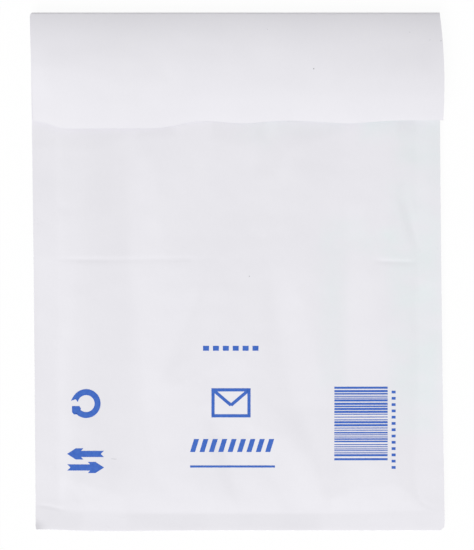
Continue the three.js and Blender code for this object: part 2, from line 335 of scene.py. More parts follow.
# Painted light and shade of the slack paper: its slopes, wrinkles and seals made lighter or darker as
# light falls on them, with painted shade under the flap's free edge: corners, brightness
PAINTED_LIGHT_AND_SHADE = (
    (((36, 258), (76, 258), (73, 310), (70, 350), (70, 430), (72, 498), (36, 498)), 0.018),
    (((56, 190), (76, 185), (79, 256), (56, 256)), 0.008),
    (((130, 258), (196, 258), (202, 284), (190, 312), (170, 350), (160, 383), (174, 386), (205, 372),
      (226, 356), (246, 360), (254, 400), (252, 430), (208, 436), (196, 470), (158, 488), (146, 430),
      (144, 400), (136, 320)), 0.017),
    (((137, 158), (154, 156), (160, 200), (137, 203)), 0.012),
    (((133, 218), (158, 216), (164, 257), (130, 257)), 0.013),
    (((272, 262), (291, 272), (310, 330), (319, 372), (331, 407), (294, 406), (284, 370),
      (279, 320)), 0.011),
    (((346, 266), (368, 268), (382, 330), (388, 384), (346, 384)), 0.010),
    (((347, 205), (364, 205), (369, 240), (347, 242)), 0.012),
    (((239, 192), (270, 193), (271, 202), (240, 202)), 0.014),
    (((246, 426), (288, 438), (312, 466), (327, 503), (300, 512), (284, 500), (268, 470)), 0.018),
    (((417, 360), (446, 360), (447, 460), (417, 460)), 0.010),
    (((87, 132), (124, 132), (128, 300), (134, 400), (131, 470), (112, 494), (97, 470), (86, 400),
      (84, 300)), -0.010),
    (((92, 144), (113, 144), (112, 214), (99, 217)), -0.010),
    (((376, 130), (414, 130), (416, 498), (398, 498), (386, 380), (378, 300)), -0.003),
    (((256, 126), (330, 126), (332, 134), (286, 150), (274, 180), (256, 176)), -0.015),
    (((294, 158), (334, 164), (334, 172), (296, 170)), -0.012),
    (((204, 438), (222, 436), (232, 474), (238, 507), (220, 482)), -0.024),
    (((270, 408), (332, 410), (342, 462), (329, 504), (316, 466), (292, 432)), -0.012),
    (((200, 286), (216, 306), (192, 350), (176, 374), (166, 372), (186, 326)), -0.010),
    (((206, 282), (271, 280), (277, 330), (262, 340), (246, 354), (226, 344), (206, 350),
      (212, 306)), -0.010),
    (((128, 514), (206, 514), (206, 531), (128, 531)), -0.012),
    (((240, 514), (318, 514), (318, 531), (240, 531)), -0.009),
    (((322, 514), (448, 514), (448, 532), (322, 532)), 0.014),
    (((84, 514), (126, 514), (126, 531), (84, 531)), 0.012),
    (((134, 108), (174, 108), (174, 135), (136, 137)), -0.040),
    (((212, 112), (264, 112), (264, 140), (238, 146), (212, 140)), -0.026),
    (((276, 108), (322, 108), (322, 138), (280, 140)), -0.014),
    (((396, 108), (417, 108), (417, 132), (398, 132)), -0.018),
    (((392, 108), (448, 108), (446, 178), (428, 182), (402, 152)), -0.010),
    (((302, 294), (342, 296), (344, 384), (334, 400), (322, 372), (312, 330)), -0.008),
    (((342, 128), (384, 124), (392, 180), (390, 236), (344, 240)), 0.008),
    (((238, 454), (258, 454), (262, 494), (246, 496)), 0.012),
    (((44, 514), (82, 514), (78, 531), (44, 531)), -0.020),
    (((60, 132), (330, 132), (330, 236), (250, 246), (60, 300)), -0.008),
    (((348, 250), (446, 196), (446, 500), (348, 500)), 0.008),
    (((262, 282), (284, 276), (290, 330), (290, 400), (264, 370)), -0.007),
    (((170, 374), (205, 352), (222, 354), (200, 382)), 0.010),
    (((268, 480), (288, 486), (308, 512), (284, 512)), -0.014),
    (((318, 486), (348, 484), (346, 496), (322, 499)), -0.014),
    (((282, 452), (310, 452), (318, 480), (300, 484)), 0.013),
    (((74, 488), (92, 492), (96, 510), (80, 511)), 0.012),
    (((60, 412), (78, 420), (73, 480), (60, 486)), 0.014),
    (((164, 478), (200, 474), (196, 494), (168, 498)), 0.012),
    (((360, 466), (390, 466), (400, 480), (362, 482)), 0.014),
    (((402, 486), (416, 480), (420, 498), (406, 502)), -0.010),
    (((28, 142), (40, 142), (40, 164), (28, 164)), -0.014),
    (((206, 418), (226, 418), (224, 432), (208, 434)), -0.014),
    (((416, 280), (438, 280), (438, 296), (418, 296)), 0.014),
    (((326, 120), (346, 120), (344, 134), (328, 136)), -0.012),
    (((430, 126), (448, 126), (447, 216), (430, 216)), -0.010),
    (((34, 203), (54, 203), (52, 220), (34, 222)), 0.012),
    (((30, 108), (140, 108), (132, 134), (88, 150), (30, 146)), -0.026),
    (((60, 112), (128, 112), (128, 256), (66, 256)), -0.008),
    (((378, 200), (400, 200), (412, 262), (413, 380), (384, 380), (378, 300)), 0.008),
    (((417, 280), (446, 280), (447, 500), (417, 496)), 0.008),
    (((69, 491), (74, 489), (87, 504), (78, 505)), -0.010),
)
TONE_BORDER = 5.0

# Painted light and shade with a sharper border: painted highlights on the slopes of the padding along
# the bottom and left seals, and painted shade in the creases
SHARP_PAINTED_LIGHT_AND_SHADE = (
    (((60, 478), (88, 486), (124, 497), (124, 511.5), (58, 511.5)), 0.022),
    (((124, 494), (214, 494), (214, 511.5), (124, 511.5)), 0.006),
    (((332, 500), (360, 488), (396, 484), (412, 496), (428, 511.5), (332, 511.5)), 0.016),
    (((362, 500), (418, 502), (434, 511.5), (362, 511.5)), 0.016),
    (((396, 182), (404, 182), (410, 206), (414, 235), (406, 230), (398, 205)), -0.016),
    (((54, 340), (63, 340), (64, 500), (56, 500)), 0.010),
    (((58, 259), (108, 259), (108, 263), (58, 263)), -0.010),
    (((376, 261), (418, 262), (418, 265), (376, 264.5)), -0.010),
    (((40, 506.5), (66, 510.5), (62, 513), (40, 510.5)), -0.010),
)
SHARP_BORDER = 2.0

# Painted light and shade of the flap, lighter or darker with its curl, and painted shade along its free
# edge, with a very soft border
FLAP_PAINTED_LIGHT_AND_SHADE = (
    (((48, 48), (112, 42), (158, 60), (166, 80), (122, 84), (72, 68), (44, 66)), -0.025),
    (((328, 56), (384, 50), (384, 72), (332, 84)), -0.010),
    (((384, 50), (428, 48), (430, 72), (388, 74)), -0.025),
    (((26, 104), (58, 104), (62, 126), (26, 126)), -0.022),
    (((26, 68), (44, 68), (48, 92), (26, 92)), 0.022),
    (((180, 36), (230, 44), (230, 52), (184, 46)), 0.018),
    (((250, 48), (312, 48), (312, 70), (262, 76)), 0.012),
    (((156, 104), (278, 84), (300, 98), (280, 110), (164, 116)), 0.010),
    (((98, 92), (140, 88), (140, 108), (100, 110)), -0.014),
    (((60, 113), (446, 109), (446, 126), (60, 134)), -0.009),
    (((360, 108), (446, 104), (446, 126), (360, 126)), -0.009),
)
FLAP_TONE_BORDER = 9.0

# Where the film's green cast shows through the front: corners, share
TINTS = (
    (((392, 112), (446, 112), (444, 160), (400, 162)), 0.46),
    (((402, 160), (446, 160), (446, 184), (400, 184)), 0.26),
    (((390, 184), (444, 184), (444, 230), (390, 232)), 0.44),
    (((384, 232), (440, 232), (440, 312), (396, 314), (390, 270)), 0.70),
    (((392, 312), (440, 312), (440, 336), (392, 336)), 0.26),
    (((390, 336), (440, 336), (440, 398), (434, 430), (396, 430)), 0.66),
    (((322, 226), (342, 226), (344, 384), (322, 384)), 0.34),
    (((328, 218), (366, 218), (366, 246), (326, 246)), 0.34),
    (((364, 236), (392, 236), (392, 254), (366, 252)), 0.40),
    (((360, 108), (402, 108), (400, 136), (364, 138)), 0.60),
    (((236, 112), (344, 112), (342, 128), (286, 132), (266, 146), (240, 134)), 0.26),
)
TINT_BORDER = 12.0


def patch(x, y, corners, border):
    """1 inside a patch of picture places, falling to 0 across its soft border."""
    line = np.array([picture(*p) for p in corners])
    nearest = np.full(x.shape, FAR)
    inside = np.zeros(x.shape, bool)
    for a, b in zip(line, np.roll(line, -1, axis=0)):
        way = b - a
        t = np.clip(((x - a[0]) * way[0] + (y - a[1]) * way[1]) / (way @ way), 0.0, 1.0)
        nearest = np.minimum(nearest, np.hypot(x - a[0] - t * way[0], y - a[1] - t * way[1]))
        if a[1] != b[1]:
            spans = (a[1] > y) != (b[1] > y)
            inside ^= spans & (x < a[0] + (y - a[1]) / way[1] * way[0])
    return smooth(np.where(inside, nearest, -nearest), -border * PX, border * PX)


def patches_over(points, patches, border):
    """Sum of some soft patches, each with its strength, over a grid of points."""
    total = np.zeros(points.shape[:2])
    for corners, strength in patches:
        total += strength * patch(points[..., 0], points[..., 1], corners, border)
    return total


def bubbles(x, y):
    """Height, from 0 to 1, of the bubbles of the film: rows packed in a triangular pattern."""
    row = BUBBLE_PITCH * math.sqrt(3.0) / 2.0
    best = np.full(np.broadcast(x, y).shape, FAR)
    nearest = np.round(y / row)
    for step in (-1, 0, 1):
        j = nearest + step
        offset = np.where(np.mod(j, 2) > 0.5, BUBBLE_PITCH / 2, 0.0)
        i = np.round((x - offset) / BUBBLE_PITCH)
        best = np.minimum(best, np.hypot(x - offset - i * BUBBLE_PITCH, y - j * row))
    return np.sqrt(np.clip(1.0 - (best / BUBBLE_RADIUS) ** 4, 0.0, 1.0))


# The slack of the front: its level below the padding's top, how far bubbles press through it, and
# how much calmer it is under the flap, from a little below the flap's edge to a little above
SLACK_LEVEL = -0.25
BUBBLE_SHOW = 0.03
FLAP_CALM = 0.8
FLAP_CALM_BAND = (-6.0, 4.0)


def relief(x, y):
    """How the slack, padded front departs from a level sheet."""
    total = np.zeros(np.broadcast(x, y).shape)
    for points, half_width, height in BUCKLES + PUCKERS:
        total += ridge(x, y, points, half_width, height)
    total += wave_sum(x, y, SLACK_WAVES)
    patches = 0.5 + 0.5 * wave_sum(x, y, BUBBLE_PATCHES)
    total += BUBBLE_SHOW * np.clip(patches, 0.0, 1.0) * bubbles(x, y)
    calm = FLAP_CALM * smooth(y - FLAP_EDGE_Y, *FLAP_CALM_BAND)
    return SLACK_LEVEL + total * (1.0 - calm)


CREASE_TAPER = 0.3


def pressed(x, y):
    """Creases, and the small waves of the seals."""
    sealed = 1.0 - fullness(flat_x(x, y), y)
    total = sealed * wave_sum(x, y, SEAL_WAVES)
    for points, half_width, height in CREASES:
        total += ridge(x, y, points, half_width, height, CREASE_TAPER)
    return total


# The bent corner: places of its tip and of its crease's two ends, and how far each is bent
TIP_PLACE = (33, 533)
TIP_REACH = 5.8
TIP_RISE = 1.4
CORNER_CREASE = ((36, 506), (84, 513))
CORNER_SLOPE = 0.018


def bent_corner(x, y):
    """The bottom left corner, bent up along a crease, and more so at its tip."""
    tip_x, tip_y = picture(*TIP_PLACE)
    away = np.hypot(x - tip_x, y - tip_y)
    tip = TIP_RISE * (1.0 - np.clip(away / TIP_REACH, 0.0, 1.0)) ** 2
    (left, left_y), (right, right_y) = (picture(*end) for end in CORNER_CREASE)
    below = np.clip(mix(left_y, right_y, (x - left) / (right - left)) - y, 0.0, None)
    return tip + CORNER_SLOPE * below * (1.0 - smooth(x, left, right))


def front(x, y):
    """Outer face of the front panel; x is flat, across the sheet."""
    real = across_cover(x, y)
    height = mix(SEAL_TOP, BODY_THICKNESS + relief(real, y), fullness(x, y))
    return height + pressed(real, y) + bent_corner(real, y)


BACK_LIFT = 0.12


def back(x, y):
    """Outer face of the back panel, which lies on the table under the padding."""
    real = across_cover(x, y)
    lifted = BACK_LIFT * (1.0 + wave_sum(real, y, BACK_WAVES)).clip(0.0)
    sealed = SEAL_BOTTOM + pressed(real, y)
    return mix(sealed, lifted, fullness(x, y)) + bent_corner(real, y)


# How far the bottom edge strays from a straight line: place across the picture, and pixels up it
EDGE_STRAY = ((37, 1.0), (48, 1.0), (62, 0.3), (85, -0.5), (125, -0.7), (165, -0.3), (205, 0.0))
EDGE_STRAY_DEPTH = 10.0


def stray(real_x, y):
    """The bottom edge's departure from a straight line, fading out above it."""
    places = [picture(px, 0)[0] for px, _ in EDGE_STRAY]
    along = np.interp(real_x, places, [up * PX for _, up in EDGE_STRAY])
    return along * (1.0 - smooth(y - BOTTOM_Y, 0.0, EDGE_STRAY_DEPTH))


def bezier(start, turn, end, t):
    """A point of the curve that leaves its start and reaches its end in line with the turn."""
    return (1.0 - t) ** 2 * start + 2.0 * t * (1.0 - t) * turn + t * t * end


def flap_line(share):
    """Y and Z of the flap's middle surface, row by row from its root to its free edge."""
    across = share * COVER_WIDTH
    lift = smooth(across, LIFT_START, LIFT_START + LIFT_LENGTH)
    belly = smooth(across, 0.0, DIP_SIDE_LENGTH)
    belly = belly * (1.0 - smooth(across, DIP_FALL_START, DIP_FALL_START + DIP_FALL_LENGTH))
    droop = LEFT_DROOP * (1.0 - smooth(across, 0.0, LEFT_DROOP_LENGTH))
    root = SEAL_BOTTOM + PAPER / 2
    crest = BODY_THICKNESS + mix(*CREST_STANDOFF, lift)
    edge = BODY_THICKNESS + mix(*EDGE_STANDOFF, lift) - droop
    pitch = mix(*FOLD_PITCH, lift)
    for centre, half_width, crest_rise, edge_rise, turn in CURLS:
        near = np.exp(-((across - centre) / half_width) ** 2)
        crest = crest + crest_rise * near
        edge = edge + edge_rise * near
        pitch = pitch + math.radians(turn) * near
    crest_y = FOLD_Y - mix(*CREST_TO_FOLD, lift)
    edge_y = FLAP_EDGE_Y - EDGE_DIP * belly
    for centre, half_width, depth in EDGE_WAVES:
        edge_y = edge_y - depth * np.exp(-((across - centre) / half_width) ** 2)
    centre_y = FOLD_Y - PAPER / 2 - FOLD_RADIUS
    rows = []

    def add_row(y, z):
        rows.append((y + 0.0 * share, z + 0.0 * share))

    for t in np.linspace(0.0, 1.0, ROOT_ROWS + 1)[:-1]:
        add_row(mix(MOUTH_Y - FLAP_ROOT, centre_y, t), root + FOLD_LIFT * t * t)
    root = root + FOLD_LIFT
    for t in np.linspace(0.0, 1.0, FOLD_ROWS):
        angle = t * (math.pi - pitch) - math.pi / 2
        add_row(centre_y + FOLD_RADIUS * np.cos(angle), root + FOLD_RADIUS * (1.0 + np.sin(angle)))
    fold_y, fold_z = rows[-1]
    turn_y = fold_y - (crest - fold_z) / np.tan(pitch)
    for t in np.linspace(0.0, 1.0, CREST_ROWS + 1)[1:]:
        add_row(bezier(fold_y, turn_y, crest_y, t), bezier(fold_z, crest, crest, t))
    for t in np.linspace(0.0, 1.0, EDGE_ROWS + 1)[1:]:
        add_row(mix(crest_y, edge_y, t), mix(crest, edge, t * t))
    return np.array([r[0] for r in rows]), np.array([r[1] for r in rows])


def flap_points(share):
    """The flap's middle surface as a grid of points, rows from root to free edge."""
    y, z = flap_line(share)
    turned = np.clip((FOLD_Y - y) / FLAP_REACH, 0.0, None)
    raised = smooth(z, SEAL_TOP, BODY_THICKNESS)
    flat = mix(-HALF_WIDTH, HALF_WIDTH, share)[None, :]
    bow = FLAP_BOW * share[None, :] * np.sin(math.pi * np.clip(turned, 0.0, 1.0))
    x = across_cover(flat, np.minimum(y, FOLD_Y)) + (FLAP_DRIFT * turned + bow) * raised
    to_fold = np.clip(FOLD_CORNER_RADIUS - (FOLD_Y - y), 0.0, FOLD_CORNER_RADIUS)
    inset = FOLD_CORNER_RADIUS - np.sqrt(FOLD_CORNER_RADIUS ** 2 - to_fold ** 2)
    x = x + inset * np.clip((-flat - POCKET_HALF) / SIDE_SEAL, 0.0, 1.0)
    z = z + smooth(turned, *FLAP_WAVE_START) * raised * wave_sum(x, y, FLAP_WAVES)
    to_edge = y - y[-1][None, :]
    strips = PAPER + LINER_DEPTH + LINER_THICKNESS
    need = PAPER / 2 + FLAP_REST_GAP + strips * smooth(to_edge, *STRIP_ROOM)
    rested = higher_of(z, front(flat_x(x, y), y) + need)
    return np.stack([x, y, mix(z, rested, smooth(turned, *FLAP_REST_START))], axis=-1)


# Mesh building

def graded(low, high, steps, fine_at=()):
    """Values from low to high, about a step apart, and closer together near some places.

    Steps are the step, the finer one, and how far from a place the finer one is used."""
    step, fine_step, fine_reach = steps
    values = [low]
    while values[-1] < high:
        here = values[-1]
        near = any(abs(here - place) < fine_reach for place in fine_at)
        values.append(here + (fine_step if near else step))
    values = np.array(values)
    return low + (values - low) * (high - low) / (values[-1] - low)


def normals(points):
    """Unit normals of a grid of points."""
    across = np.gradient(points, axis=1)
    along = np.gradient(points, axis=0)
    normal = np.cross(along, across)
    return normal / np.linalg.norm(normal, axis=-1, keepdims=True)


class Shell:
    """Gathers closed thin solids, each between two facing grids of points, into one mesh.

    Seen from outside, a grid's rows run down and its columns run to the right."""

    def __init__(self):
        self.points = []
        self.faces = []

    def add(self, upper, lower):
        rows, columns = upper.shape[:2]
        base = sum(len(p) for p in self.points)
        count = rows * columns
        self.points += [upper.reshape(-1, 3), lower.reshape(-1, 3)]
        at = base + np.arange(count).reshape(rows, columns)
        under = at + count

        def quads(a, b, c, d):
            self.faces.append(np.stack([a, b, c, d], axis=-1).reshape(-1, 4))

        quads(at[:-1, :-1], at[1:, :-1], at[1:, 1:], at[:-1, 1:])
        quads(under[:-1, :-1], under[:-1, 1:], under[1:, 1:], under[1:, :-1])
        quads(at[:-1, 0], under[:-1, 0], under[1:, 0], at[1:, 0])
        quads(at[:-1, -1], at[1:, -1], under[1:, -1], under[:-1, -1])
        quads(at[0, :-1], at[0, 1:], under[0, 1:], under[0, :-1])
        quads(at[-1, :-1], under[-1, :-1], under[-1, 1:], at[-1, 1:])

    def make(self, name, material, node, sharp_angle=50.0, fields=None):
        points = np.concatenate(self.points) * MM
        faces = np.concatenate(self.faces)
        mesh = bpy.data.meshes.new(name)
        mesh.from_pydata(points.tolist(), [], faces.tolist())
        for field, values in (fields or {}).items():
            mesh.attributes.new(field, "FLOAT", "POINT").data.foreach_set("value", values)
        mesh.validate()
        mesh.shade_smooth()
        mesh.set_sharp_from_angle(angle=math.radians(sharp_angle))
        mesh.materials.append(material)
        piece = bpy.data.objects.new(name, mesh)
        bpy.context.scene.collection.objects.link(piece)
        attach(piece, "root")
        if node:
            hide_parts(node)
        return piece


# Materials

class Nodes:
    """A material's node tree, with short calls for the nodes used here."""

    def __init__(self, name):
        self.material = bpy.data.materials.new(name)
        self.material.use_nodes = True
        self.tree = self.material.node_tree
        self.shader = self.tree.nodes["Principled BSDF"]

    def node(self, kind, **settings):
        made = self.tree.nodes.new(kind)
        for key, value in settings.items():
            setattr(made, key, value)
        return made

    def link(self, source, target):
        self.tree.links.new(source, target)

    def set(self, **values):
        """Constant values, by the names of the shader's sockets with _ for a space."""
        for key, value in values.items():
            self.shader.inputs[key.replace("_", " ")].default_value = value

    def noise(self, length, detail=2.0, stretch=(1.0, 1.0, 1.0), roughness=0.5):
        """Noise with features of about a length in millimetres."""
        mapping = self.node("ShaderNodeMapping")
        mapping.inputs["Scale"].default_value = [s / (length * MM) for s in stretch]
        self.link(self.node("ShaderNodeTexCoord").outputs["Object"], mapping.inputs["Vector"])
        noise = self.node("ShaderNodeTexNoise")
        noise.inputs["Scale"].default_value = 1.0
        noise.inputs["Detail"].default_value = detail
        noise.inputs["Roughness"].default_value = roughness
        self.link(mapping.outputs["Vector"], noise.inputs["Vector"])
        return noise.outputs["Fac"]

    def mottle(self, source, tones, low=0.3, high=0.7):
        """A colour that goes from one tone to the other while the source goes from low to high."""
        ramp = self.node("ShaderNodeValToRGB")
        for element, position, tone in zip(ramp.color_ramp.elements, (low, high), tones):
            element.position = position
            element.color = (*tone, 1.0)
        self.link(source, ramp.inputs["Fac"])
        return ramp.outputs["Color"]

    def blend(self, share, a, b, mode="MIX"):
        """A mix of two colours; each argument is a value or another node's output."""
        made = self.node("ShaderNodeMix", data_type="RGBA", blend_type=mode)
        for value, socket in ((share, made.inputs[0]), (a, made.inputs[6]), (b, made.inputs[7])):
            if isinstance(value, bpy.types.NodeSocket):
                self.link(value, socket)
            else:
                socket.default_value = value if isinstance(value, float) else (*value, 1.0)
        return made.outputs[2]

    def scaled(self, source, low, high, from_low=0.0, from_high=1.0):
        """The source moved from its own range to the range from low to high."""
        made = self.node("ShaderNodeMapRange")
        made.inputs["From Min"].default_value = from_low
        made.inputs["From Max"].default_value = from_high
        made.inputs["To Min"].default_value = low
        made.inputs["To Max"].default_value = high
        self.link(source, made.inputs["Value"])
        return made.outputs["Result"]

    def combined(self, operation, a, b):
        made = self.node("ShaderNodeMath", operation=operation)
        self.link(a, made.inputs[0])
        self.link(b, made.inputs[1])
        return made.outputs[0]

    def bump(self, height, strength, depth, before=None):
        """A bumped normal of some depth in millimetres, on top of one that came before."""
        made = self.node("ShaderNodeBump")
        made.inputs["Strength"].default_value = strength
        made.inputs["Distance"].default_value = depth * MM
        self.link(height, made.inputs["Height"])
        if before:
            self.link(before, made.inputs["Normal"])
        return made.outputs["Normal"]

    def into(self, name, source):
        self.link(source, self.shader.inputs[name])


# Colours: each material's darker and lighter tone
PAPER_TONES = ((0.808, 0.798, 0.84), (0.83, 0.82, 0.86))
INK_TONES = ((0.036, 0.118, 0.50), (0.066, 0.168, 0.57))
FLECK_TONES = ((0.25, 0.25, 0.27), (0.42, 0.42, 0.45))
FILM_TONES = ((0.74, 0.79, 0.82), (0.84, 0.88, 0.9))
ADHESIVE_TONES = ((0.72, 0.63, 0.42), (0.8, 0.73, 0.53))
LINER_TONES = ((0.79, 0.77, 0.7), (0.86, 0.84, 0.78))

# The film's cast in the paper, and the paper's fibres
CAST_TONE = (0.775, 0.82, 0.835)
FIBRE_TONE = (0.62, 0.62, 0.66)
FIBRE_SHARE = 0.10


def cover_paper():
    n = Nodes("cover_paper_visual")
    n.set(Specular_IOR_Level=0.08)
    clouds = n.mottle(n.noise(34.0, 3.0), PAPER_TONES)
    tint = n.node("ShaderNodeAttribute", attribute_name="tint").outputs["Fac"]
    streaks = n.scaled(n.noise(12.0, 3.0, (0.8, 1.4, 1.0)), 0.4, 1.6, 0.3, 0.7)
    tinted = n.blend(n.combined("MULTIPLY", tint, streaks), clouds, CAST_TONE)
    fibres = n.noise(0.9, 3.0, (1.0, 0.4, 1.0), 0.6)
    fibrous = n.blend(n.scaled(fibres, 0.0, FIBRE_SHARE), tinted, FIBRE_TONE)
    # The tone field lightens or darkens the paper with painted light and shade
    tone = n.node("ShaderNodeAttribute", attribute_name="tone").outputs["Fac"]
    toned = n.blend(1.0, fibrous, n.scaled(tone, 0.9, 1.1, -0.1, 0.1), "MULTIPLY")
    n.into("Base Color", toned)
    n.into("Roughness", n.scaled(n.noise(5.0, 2.0), 0.68, 0.84))
    tooth = n.bump(fibres, 0.15, 0.02)
    n.into("Normal", n.bump(n.noise(7.0, 2.0), 0.10, 0.12, tooth))
    return n.material


def ink():
    n = Nodes("print_ink")
    n.set(Specular_IOR_Level=0.2, Roughness=0.6)
    n.into("Base Color", n.mottle(n.noise(1.6, 3.0, roughness=0.65), INK_TONES, 0.25, 0.75))
    n.into("Normal", n.bump(n.noise(0.5), 0.2, 0.02))
    return n.material


def grey_fleck():
    n = Nodes("fleck")
    n.set(Roughness=0.7)
    n.into("Base Color", n.mottle(n.noise(0.4), FLECK_TONES))
    return n.material


def bubble_film():
    n = Nodes("lining_film_visual")
    n.set(IOR=1.5, Transmission_Weight=0.35)
    n.into("Base Color", n.mottle(n.noise(18.0), FILM_TONES))
    n.into("Roughness", n.scaled(n.noise(3.0), 0.14, 0.3))
    n.into("Normal", n.bump(n.noise(2.0, 2.0), 0.3, 0.05))
    return n.material


def hot_melt():
    n = Nodes("strip_adhesive_visual")
    n.set(Roughness=0.25)
    n.into("Base Color", n.mottle(n.noise(6.0), ADHESIVE_TONES))
    n.into("Normal", n.bump(n.noise(1.5, 2.0, (0.2, 1.0, 1.0)), 0.6, 0.1))
    return n.material


def liner_paper():
    n = Nodes("liner_paper_visual")
    n.set(Coat_Weight=0.3)
    n.into("Base Color", n.mottle(n.noise(14.0, 3.0), LINER_TONES))
    n.into("Roughness", n.scaled(n.noise(4.0), 0.3, 0.45))
    n.into("Normal", n.bump(n.noise(0.8, 3.0), 0.2, 0.02))
    return n.material


# Pieces

# The cover's grid: step, finer step, and how far from a line the finer one is used. The front is
# finer along its pressed lines, given as places down the picture
COLUMN_STEPS = (1.4, 0.7, 1.5)
FRONT_STEPS = (1.3, 0.5, 2.4)
BACK_STEPS = (3.2, 1.4, 9.0)
PRESSED_LINES = (259.5, 508.0, 514.0)
FRONT_MARGIN = 0.15


def make_cover():
    seams = (-POCKET_HALF, POCKET_HALF)
    columns = graded(-HALF_WIDTH, HALF_WIDTH, COLUMN_STEPS, seams)
    lines = [picture(0, py)[1] for py in PRESSED_LINES]
    rows = graded(BOTTOM_Y + FRONT_MARGIN, MOUTH_Y, FRONT_STEPS, lines)
    rows = np.append(rows[::-1], BOTTOM_Y + RIM)
    x = columns[None, :]

    def panel(ys, height):
        y = ys[:, None] + 0.0 * x
        real = across_cover(x, y)
        return np.stack([real, y + stray(real, y), height(x, y)], axis=-1)

    front_grid = panel(rows, lambda a, b: front(a, b) - PAPER / 2)
    edge_y = np.array([BOTTOM_Y])
    edge_grid = panel(edge_y, lambda a, b: (front(a, b) + back(a, b)) / 2)
    seal_lines = (BOTTOM_Y, POCKET_BOTTOM_Y)
    back_rows = graded(BOTTOM_Y + RIM, MOUTH_Y - FLAP_ROOT, BACK_STEPS, seal_lines)[:-1]
    back_grid = panel(back_rows, lambda a, b: back(a, b) + PAPER / 2)
    share = (columns + HALF_WIDTH) / COVER_WIDTH
    grid = np.concatenate([front_grid, edge_grid, back_grid, flap_points(share)])
    out = normals(grid)
    flap_grid = grid[-CREST_ROWS - EDGE_ROWS:]
    # The tone field holds the painted light and shade of the front and the flap; the tint field holds
    # the film's cast
    tone = np.zeros(grid.shape[:2])
    tint = np.zeros(grid.shape[:2])
    tone[:len(rows)] = patches_over(front_grid, PAINTED_LIGHT_AND_SHADE, TONE_BORDER)
    tone[:len(rows)] += patches_over(front_grid, SHARP_PAINTED_LIGHT_AND_SHADE, SHARP_BORDER)
    tone[-len(flap_grid):] = patches_over(flap_grid, FLAP_PAINTED_LIGHT_AND_SHADE, FLAP_TONE_BORDER)
    tint[:len(rows)] = patches_over(front_grid, TINTS, TINT_BORDER)
    shell = Shell()
    shell.add(grid + out * PAPER / 2, grid - out * PAPER / 2)
    fields = {"tone": np.tile(tone.ravel(), 2), "tint": np.tile(tint.ravel(), 2)}
    return shell.make("envelope_cover", cover_paper(), "outer_cover", fields=fields)


def lining_wall(columns, rows, side):
    """Outer and inner faces of one wall of film; side is 1 for the front wall, -1 for the back."""
    x = columns[None, :]
    y = rows[:, None] + 0.0 * x
    top, low = front(x, y) - PAPER, back(x, y) + PAPER
    centre = (top + low) / 2
    from_edge = np.minimum(columns[-1] - np.abs(x), y - (POCKET_BOTTOM_Y + LINING_INSET))
    open_share = smooth(from_edge, 0.0, LINING_WELD)
    inner = POCKET_GAP / 2 * mix(WELD_GAP_SHARE, 1.0, open_share)
    room = (top - low) / 2 - LINING_CLEARANCE - inner - FILM
    swelling = bubbles(across_cover(x, y), y) * smooth(from_edge, BUBBLE_TO_EDGE, LINING_WELD)
    outer = inner + FILM + np.clip(room, 0.0, None) * swelling
    most = (top - low) / 2 - LINING_LEAST_GAP
    outer = np.minimum(outer, most)
    inner = np.minimum(inner, most / 2)
    real = across_cover(x, y)

    def place(depth):
        return np.stack([real, y, centre + side * depth], axis=-1)

    return place(outer), place(inner)


def make_lining():
    half = POCKET_HALF - LINING_INSET
    bottom = POCKET_BOTTOM_Y + LINING_INSET
    steps = (LINING_STEP, LINING_STEP, 0.0)
    columns = graded(-half, half, steps)
    rows = graded(bottom, MOUTH_Y - LINING_TO_MOUTH, steps)
    front_outer, front_inner = lining_wall(columns, rows, 1)
    back_outer, back_inner = lining_wall(columns, rows, -1)
    outer = np.concatenate([front_outer[::-1], back_outer])
    inner = np.concatenate([front_inner[::-1], back_inner])
    shell = Shell()
    shell.add(outer, inner)
    lining = shell.make(
        "bubble_film_lining", bubble_film(), "bubble_lining", LINING_SHARP_ANGLE)
    return lining


def make_strip(name, node, material, setback, width, margin, depth, thickness):
    """A strip under the flap, between two distances from its free edge."""
    step = STRIP_STEP / COVER_WIDTH
    share = graded(margin / COVER_WIDTH, 1.0 - margin / COVER_WIDTH, (step, step, 0.0))
    grid = flap_points(share)
    out = normals(grid)
    steps = np.linalg.norm(np.diff(grid, axis=0), axis=-1)
    walked = np.concatenate([np.zeros((1, len(share))), np.cumsum(steps, axis=0)])
    to_edge = walked[-1][None, :] - walked
    wanted = np.linspace(setback + width, setback, int(width / STRIP_ROW_STEP) + 1)

    def sample(field):
        picked = np.zeros((len(wanted), len(share), 3))
        for column in range(len(share)):
            order = to_edge[::-1, column]
            for axis in range(3):
                picked[:, column, axis] = np.interp(wanted, order, field[::-1, column, axis])
        return picked

    points, out = sample(grid), sample(out)
    top = points - out * (PAPER / 2 + depth)
    shell = Shell()
    shell.add(top, top - out * thickness)
    return shell.make(name, material, node)


# Print: plain marks, as thin patches that follow the front. Sizes and places are in picture pixels,
# apart from how far a patch stands out of the paper and reaches into it
PRINT_LIFT = 0.03
PRINT_SINK = 0.05
PRINT_STEP = 3.0


def front_height(x, y):
    return front(flat_x(x, y), y)


def flap_height(x, y):
    """Outer face of the flap over some places close together."""
    share = (np.mean(x - middle_of(y)) - FLAP_DRIFT / 2 + HALF_WIDTH) / COVER_WIDTH
    points = flap_points(np.array([share]))[:, 0]
    upper = points[np.argmax(points[:, 1]):][::-1]
    return np.interp(y, upper[:, 1], upper[:, 2]) + PAPER / 2


def print_patch(shell, px, py, height=front_height):
    """A patch from rows of places that run down the picture, each from left to right."""
    x, y = picture(np.asarray(px, float), np.asarray(py, float))
    z = height(x, y)
    shell.add(np.stack([x, y, z + PRINT_LIFT], axis=-1), np.stack([x, y, z - PRINT_SINK], axis=-1))


